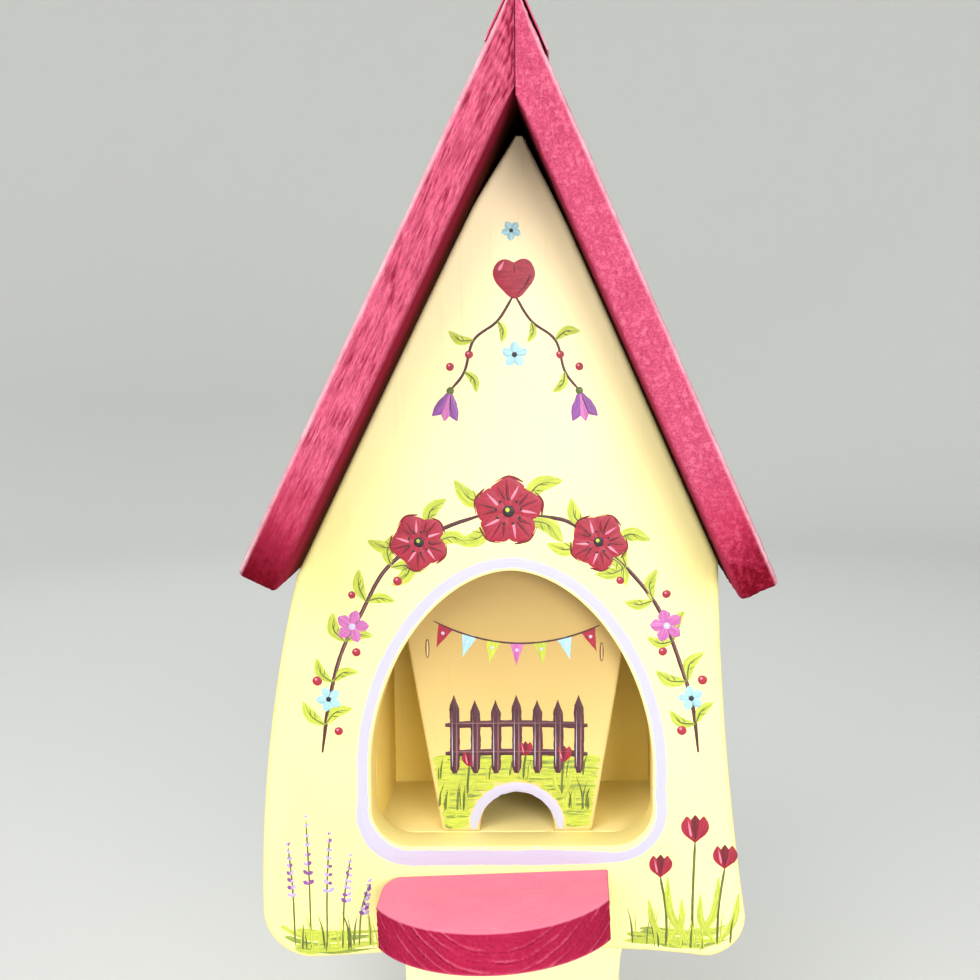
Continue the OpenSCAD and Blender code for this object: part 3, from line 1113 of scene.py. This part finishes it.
def front_painting(colours):
    draw = random.Random(11)
    canvas = Canvas("front_paint", FRONT_Y)
    arch_stripe(canvas)
    for left, right in ((-108, -56), (44, 98)):
        wash(canvas, draw, left + 3, right - 2, foot_line, 9, 26)
        grass(canvas, draw, left + 5, right - 4, foot_line, 17, 24)
    garland(canvas, draw)
    gable_ornament(canvas)
    for x, height, lean in ((-97, 44, -2), (-90, 58, -1), (-83, 50, 2), (-76, 40, 4), (-69, 28, 5)):
        lavender(canvas, draw, (x, foot_line(x) + 2), height, lean)
    for x, height, lean, size in ((66, 30, -3, 10), (77, 47, 1, 12), (88, 35, 3, 10.5)):
        tulip(canvas, (x, foot_line(x) + 2), height, lean, size)
    canvas.finish(colours)


# The panel's slanted sides and the room that its design leaves along them and round the notch
PANEL_SLOPE = 6
PANEL_MARGIN = 1.8
NOTCH_MARGIN = 5.5
NOTCH_RISE = 1.5
# Staples over the hopper's sides, across and up from the frame's floor
STAPLES = ((-39, 198.7), (37.8, 197))


def notch_stripe(canvas, middle, half):
    """A white stripe round the notch, straight down to the floor at both ends."""
    turns = [math.pi - math.pi * i / 16 for i in range(17)]
    band = [Vector((middle + (half + 2.9) * math.cos(a), FLOOR + NOTCH_RISE + (half + 2.6) * math.sin(a)))
            for a in turns]
    band[0].y = FLOOR + 1
    band[-1].y = FLOOR + 1
    canvas.stroke("white", band, 4.6, 3, even_width)


def panel_ground(canvas, draw, left, right, middle, half):
    """Streaked lime ground at the panel's foot, on both sides of the notch."""
    for z in range(int(FLOOR) + 3, int(FLOOR) + 35, 2):
        spread = (z - FLOOR) / PANEL_SLOPE - PANEL_MARGIN
        clear = math.sqrt(max(0.0, (half + NOTCH_MARGIN) ** 2 - (z - FLOOR - NOTCH_RISE) ** 2))
        for a, b in ((left - spread, middle - clear), (middle + clear, right + spread)):
            if z % 4 < 2:
                path = [(a, z), ((a + b) / 2, z + draw.uniform(-0.8, 0.8)), (b, z)]
                canvas.stroke("lime", path, 5.4, -0.5, even_width)
            for i in range(3):
                x = a + (b - a) * draw.uniform(0, 0.5) * i / 2
                end = b - (b - a) * draw.uniform(0, 0.5) * (2 - i) / 2
                if end - x > 4:
                    colour = "lime" if draw.random() < 0.72 else "moss"
                    path = [(x, z), ((x + end) / 2, z + draw.uniform(-1, 1)), (end, z)]
                    canvas.stroke(colour, path, draw.uniform(1.6, 2.8))


def panel_painting(colours):
    draw = random.Random(23)
    canvas = Canvas("panel_paint", PANEL_Y)
    outline = design_outline(cap_loops("hopper_front", FRONT)[0])
    foot = [p.x for p in outline if p.y < FLOOR + 1.5]
    left, right = min(foot), max(foot)
    notch = [p for p in outline if p.y < FLOOR + 30 and left + 4 < p.x < right - 4]
    middle = (notch[0].x + notch[-1].x) / 2
    half = abs(notch[-1].x - notch[0].x) / 2
    notch_stripe(canvas, middle, half)
    panel_ground(canvas, draw, left, right, middle, half)
    fence(canvas, middle, FLOOR + 27)
    grass(canvas, draw, left - 1, middle - half - 5, lambda x: FLOOR + 10, 16, 12)
    grass(canvas, draw, middle + half + 5, right + 1, lambda x: FLOOR + 10, 16, 12)
    grass(canvas, draw, left - 3, right + 3, lambda x: FLOOR + 24, 11, 14)
    for aside, up, height, size in ((-22, 17, 13, 7), (20, 17, 15, 7.5), (3, 24, 11, 6.5)):
        tulip(canvas, (middle + aside, FLOOR + up), height, 1, size)
    bunting(canvas, Vector((middle - 36, FLOOR + 96)), Vector((middle + 37, FLOOR + 94)))
    for x, z in STAPLES:
        staple(canvas, x, z - FOOT_Z / MM)
    canvas.finish(colours)


def staple(canvas, x, z):
    """Crown of a staple that was painted over, with a dark line of painted shade round it."""
    turns = [math.pi / 8 * i for i in range(16)]
    ring = [Vector((x + 0.68 * math.cos(a), z + 4.1 * math.sin(a))) for a in turns]
    canvas.stroke("plum", ring, 0.55, closed=True)
    canvas.stroke("staple", [(x, z - 3.6), (x + 0.1, z), (x, z + 3.6)], 0.9, 9, even_width)


def fence(canvas, middle, ground):
    """Seven pickets and two rails, with light along one side of each."""
    pickets, pitch, height = 7, 9.2, 34
    rails = (22, 9)
    half = (pickets - 1) / 2 * pitch + 4
    for rail in reversed(rails):
        z = ground + rail
        beam = [(middle - half, z), (middle, z + 0.7), (middle + half, z - 0.3)]
        canvas.stroke("plum", beam, 3.4, 2, even_width)
        canvas.stroke("rose_brown", [(middle - half + 3, z + 0.8), (middle + half - 3, z + 0.9)], 0.7, 4)
    for i in range(pickets):
        x = middle + (i - (pickets - 1) / 2) * pitch
        top = ground + height + 1.5 * math.cos(i * 2.1)
        canvas.stroke("plum", [(x, ground), (x + 0.3, (ground + top) / 2), (x, top - 3)], 4.8, 3, even_width)
        canvas.stroke("plum", [(x, top - 5), (x, top)], 4.4, 3, lambda t: max(0.08, 1 - t))
        canvas.stroke("white", [(x - 1.0, ground + 3), (x - 0.9, top - 7)], 0.5, 5)
        canvas.stroke("rose_brown", [(x + 0.9, ground + 1), (x + 1.1, top - 5)], 1.0, 5)
        for rail in rails:
            canvas.dab("black", (x + 0.1, ground + rail), 0.5, 6, 8)


def bunting(canvas, start, end):
    """A sagging string of small flags."""
    flags = ("red", "sky", "lime", "orchid", "lime", "sky", "red")
    sag = 9

    def cord_at(t):
        return start.lerp(end, t) - Vector((0, sag * 4 * t * (1 - t)))

    canvas.stroke("plum", [cord_at(i / 12) for i in range(13)], 0.9, 2, even_width)
    for i, colour in enumerate(flags):
        a, b = cord_at((i + 0.14) / len(flags)), cord_at((i + 0.86) / len(flags))
        middle = (a + b) / 2
        hang = Vector((b.y - a.y, a.x - b.x)).normalized()
        tip = middle + hang * 10
        path = [middle - hang * 0.3, (middle + tip) / 2, tip]
        canvas.stroke(colour, path, (b - a).length, 1, lambda t: max(0.05, 1 - t))
        canvas.dab("white", middle + hang * 3.2, 0.9, 3, 10)


# Strip over the ridge: how far its legs reach, how they lie on the boards, its thickness, fold and tacks
LEFT_REACH = 27.5 * MM
LID_REACH = 31.5 * MM
LEFT_LIE = 0.9 * MM
LIE_FROM = 9 * MM
STRIP_T = 0.5 * MM
STRIP_ABOVE = 1.45 * MM
FOLD_R = 1.6 * MM
TACK_R = 2.1 * MM
TACK_H = 0.9 * MM
TACK_MARGIN = 9 * MM
LEFT_TACK_LIFT = 0.4 * MM
LID_TACK_LIFT = 1.0 * MM
HINGE_ABOVE = 1.5 * MM


def roof_frame(side):
    """Top corner, downhill direction and outward direction of one roof board's outer face."""
    loop = cap_loops("roof_left" if side < 0 else "roof_lid", FRONT)[0]
    peak = max(loop, key=lambda p: p.z)
    eave = max(loop, key=lambda p: p.x * side)
    down = (eave - peak).normalized()
    return peak, down, Vector((-down.z * side, 0, down.x * side))


def strip_profile():
    """Places and outward directions across the strip, from its left edge over the fold to its right edge."""
    left_down, left_out = roof_frame(-1)[1:]
    right_down, right_out = roof_frame(1)[1:]
    half = left_down.angle(right_down) / 2
    apex = Vector((HINGE_AT.x, 0, HINGE_AT.z - (HINGE_ABOVE - STRIP_ABOVE) / math.sin(half)))
    bisector = (left_down + right_down).normalized()
    centre = apex + bisector * (FOLD_R / math.sin(half))
    tangent = FOLD_R / math.tan(half)
    steps = 12
    shares = [i / steps for i in range(1, steps + 1)]
    reaches = [tangent + (LEFT_REACH - tangent) * share for share in reversed(shares)]
    profile = [(apex + left_down * r, left_out, r) for r in reaches]
    for i in range(steps + 1):
        out = left_out.slerp(right_out, i / steps)
        profile.append((centre + out * FOLD_R, out, 0.0))
    reaches = [tangent + (LID_REACH - tangent) * share for share in shares]
    profile += [(apex + right_down * r, right_out, r) for r in reaches]
    return profile


def ridge_strip(material):
    """One folded strip over the ridge, in place of the strip's two nodes."""
    y_low, y_high = y_span("strip_left")
    profile = strip_profile()
    width = len(profile)
    row = 2 * width
    rows = 50
    points = []
    faces = []
    for j in range(rows + 1):
        y = y_low + (y_high - y_low) * j / rows
        for below in (0.0, STRIP_T):
            for i, (place, out, reach) in enumerate(profile):
                sag = (0.2 + 0.35 * waver(y * 45, i * 0.09, 1)) * MM
                lie = LEFT_LIE if out.x < 0 else max(0.0, sag)
                spot = place - out * (below + lie * min(1.0, reach / LIE_FROM))
                points.append((spot.x, y, spot.z))
    for j in range(rows):
        a = j * row
        b = a + row
        for i in range(width - 1):
            faces.append((a + i, a + i + 1, b + i + 1, b + i))
            faces.append((a + width + i, b + width + i, b + width + i + 1, a + width + i + 1))
        faces.append((a, b, b + width, a + width))
        faces.append((a + width - 1, a + row - 1, b + row - 1, b + width - 1))
    for a in (0, rows * row):
        faces += [(a + i, a + i + 1, a + width + i + 1, a + width + i) for i in range(width - 1)]
    piece = make_mesh("ridge_strip", points, faces, material)
    # The end of the left leg is marked pale: rubbed paint and a painted highlight along its edge
    edge = [rise(reach, LEFT_REACH - 3 * MM, LEFT_REACH) for place, out, reach in profile] * 2
    point_values(piece, "wear", edge * (rows + 1))
    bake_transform(piece)
    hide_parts("strip_left", "strip_lid")


def dome(points, faces, centre, out, across, radius, height, sides=16, rings=4):
    """Adds one closed domed head, flat side down, to a joined mesh."""
    along = out.cross(across).normalized()
    start = len(points)
    for ring in range(rings):
        turn = math.pi / 2 * ring / rings
        for i in range(sides):
            angle = 2 * math.pi * i / sides
            rim = (across * math.cos(angle) + along * math.sin(angle)) * radius * math.cos(turn)
            points.append(centre + rim + out * height * math.sin(turn))
    top = len(points)
    points.append(centre + out * height)
    faces += dome_faces(start, sides, rings, top)


def strip_tacks(name, side, reach, body, material):
    """A row of tack heads along one leg of the strip."""
    peak, down, out = roof_frame(side)
    y_low, y_high = y_span("strip_left")
    points = []
    faces = []
    count = 5
    for i in range(count):
        y = y_low + TACK_MARGIN + (y_high - y_low - 2 * TACK_MARGIN) * i / (count - 1)
        centre = peak + down * reach + out * (LEFT_TACK_LIFT if side < 0 else LID_TACK_LIFT)
        centre.y = y
        dome(points, faces, centre, out, Vector((0, 1, 0)), TACK_R, TACK_H)
    make_piece(name, points, faces, material, body)


def make_walls():
    """The boards of the house and the hopper, marked where their other colour shows: painted light and
    shade.
    """
    front = board("front_board", "front_wall", cream, front_radius=WALL_ARRIS, hole_radius=HOLE_ARRIS,
                  peaked=True)
    # Towards the gable's top the pinker other cream is mixed in: painted reflection of the red roof and
    # painted shade under it
    mark(front, "other", lambda v: rise(v.co.z, 240 * MM, 400 * MM))
    back = board("back_board", "back_wall", inside_shade_cream, back_radius=WALL_ARRIS, peaked=True)
    mark(back, "other", lambda v: float(v.co.z < FOOT_Z or v.normal.y > 0.3))
    for wall, side in (("left_wall", -1), ("right_wall", 1)):
        shell = board(wall + "_board", wall, inside_shade_cream)
        mark(shell, "other", lambda v: float(v.normal.x * side > 0.3))
    plank = board("floor_plank", "floor_board", inside_shade_cream)
    mark(plank, "other", lambda v: 0.5)
    panel = board("hopper_panel", "hopper_front", panel_shade_cream, front_radius=PANEL_ARRIS, step=2 * MM)
    # Darker towards the top: painted shade under the top of the opening
    mark(panel, "other", lambda v: rise(v.co.z, 150 * MM, 225 * MM))
    for wall in ("hopper_left_side", "hopper_right_side"):
        board(wall + "_board", wall, inside_shade_cream)


def make_perch():
    """The perch: its flat top is that of the node, which slopes a little sideways."""
    top = max(NODES["perch"].data.polygons, key=lambda p: p.normal.z * p.area).normal.copy()
    along = Vector((0, 1, 0))
    piece = board("perch_board", "perch", perch_red, top, along.cross(top), along, 1.0 * MM,
                  PERCH_ARRIS, PERCH_ARRIS, side_steps=30)
    carve(piece, growth_rings)
    # Its upward face is marked for the lighter pink of the painted highlight
    mark(piece, "top", lambda v: max(0.0, v.normal.z) ** 3)


def studio_bowl():
    """A plain pale floor that curves up into a wall all round."""
    floor_z = cad_low.z - 1 * MM
    flat_r, bend_r, top = 1.7, 0.8, 1.6
    profile = [(0.0, 0.0), (0.4, 0.0), (1.0, 0.0)]
    for i in range(17):
        turn = math.pi / 2 * i / 16
        profile.append((flat_r + bend_r * math.sin(turn), bend_r * (1 - math.cos(turn))))
    profile.append((flat_r + bend_r, top))
    sides = 96
    points = [(0, 0, floor_z)]
    faces = []
    for radius, height in profile[1:]:
        for i in range(sides):
            angle = 2 * math.pi * i / sides
            points.append((radius * math.cos(angle), radius * math.sin(angle), floor_z + height))
    for i in range(sides):
        faces.append((0, 1 + i, 1 + (i + 1) % sides))
    for ring in range(len(profile) - 2):
        for i in range(sides):
            j = (i + 1) % sides
            a = 1 + ring * sides
            faces.append((a + i, a + sides + i, a + sides + j, a + j))
    mesh = bpy.data.meshes.new("studio_floor")
    mesh.from_pydata(points, [], faces)
    mesh.shade_smooth()
    look = Look("studio_floor", 0.8, 0.2)
    look.colour("cfd0cd")
    mesh.materials.append(look.material)
    bowl = bpy.data.objects.new("studio_floor", mesh)
    bpy.context.scene.collection.objects.link(bowl)


make_camera()

# Paints: body, shade and worn colours, how far they are rubbed, and the other colour that paints light and
# shade where a board is marked
cream = cream_paint("cream_paint", "fbf0a8", "f7e996", "c79a58", 0.2, "f8e3bc")
# The inside is a warmer ochre copy of the cream, painted shade and painted warm reflection; outer faces, the
# tongue and, half way, the floor take the paler other colour
inside_shade_cream = cream_paint("inside_shade_cream_paint", "fde88c", "f7dc74", "a87532", other="fdf5bd")
# The panel's cream is a darker copy of the house's cream, painted shade for its place behind the opening
panel_shade_cream = cream_paint("panel_shade_cream_paint", "dcc27e", "d6b870", "a87c3c", 0.2, "a08650")
rough_red = red_paint("rough_red_paint", "ec6c8e", "8c1434", "fcc8d4", 0.06, streaks=0.52, shade="94283f")
pebbled_red = red_paint("pebbled_red_paint", "d65c7e", "8a183a", "fabccc", 0.3, shade="b03c58")
perch_red = red_paint("perch_red_paint", "a82446", "5e0a22", "dc7890", 0.1, 0.3, ("f08ca8", "ea82a0"))
strip_red = red_paint("strip_red_paint", "d85a7c", "b83058", "f7b9c9", 0.1)
tack_steel = metal("tack_steel", "b98a92", "6d3a44")

# Brush paints: body, dark and dry streaks, and how much of the dry ones
PAINT_COLOURS = {
    "lime": ("bcc640", "9dab36", "d9de8c", 0.6),
    "moss": ("93a23c", "6d8034", "c2ca78", 0.6),
    "olive": ("66722e", "465222", "a0a860"),
    "red": ("a4203a", "86152b", "c4505e"),
    "deep_red": ("720f22", "580a1a", "9c2a3e"),
    "pink": ("e08ca2", "d4728c", "eec4cc"),
    "plum": ("512831", "3a1b24", "7c4e54"),
    "rose_brown": ("8a5c60", "744a50", "b8928f"),
    "lilac": ("bca8d6", "a893c8", "d6cce2"),
    "purple": ("8c4e9a", "723c82", "b680bc"),
    "orchid": ("c470ac", "aa5496", "deaacc"),
    "sky": ("a4ccd6", "8cb8c4", "c8e0e6"),
    "white": ("bab8cc", "b6b4c9", "bfbdd0"),
    "staple": ("d6bc82", "b89654", "e4d2a4"),
    "black": ("231c20", "161114", "4a4046"),
}
PAINTS = {name: brush_paint(name + "_motif_paint", *row) for name, row in PAINT_COLOURS.items()}

make_walls()
make_perch()
roof_board("roof_left_board", "roof_left", -1, rough_red, "house", rough_grain)
roof_board("roof_lid_board", "roof_lid", 1, pebbled_red, "lid", smooth_grain)
ridge_strip(strip_red)
strip_tacks("left_tacks", -1, 22 * MM, "house", tack_steel)
strip_tacks("lid_tacks", 1, 16 * MM, "lid", tack_steel)
front_painting(PAINTS)
panel_painting(PAINTS)


studio_bowl()
area_light("front", (-0.65, -1.7, 1.35), 1.5, 28, (1.0, 0.98, 0.95))
area_light("sky", (-0.1, -0.3, 2.3), 1.8, 16, (0.97, 0.99, 1.0))
area_light("fill", (0.65, -2.0, 0.6), 0.9, 29, (1.0, 0.99, 0.97))
area_light("rear", (-0.5, 1.5, 1.2), 1.2, 6, (1.0, 1.0, 1.0))
world = bpy.data.worlds.new("studio")
bpy.context.scene.world = world
world.use_nodes = True
world.node_tree.nodes["Background"].inputs["Color"].default_value = (0.95, 0.97, 1.0, 1)
world.node_tree.nodes["Background"].inputs["Strength"].default_value = 0.5
bpy.context.scene.view_settings.view_transform = "Standard"
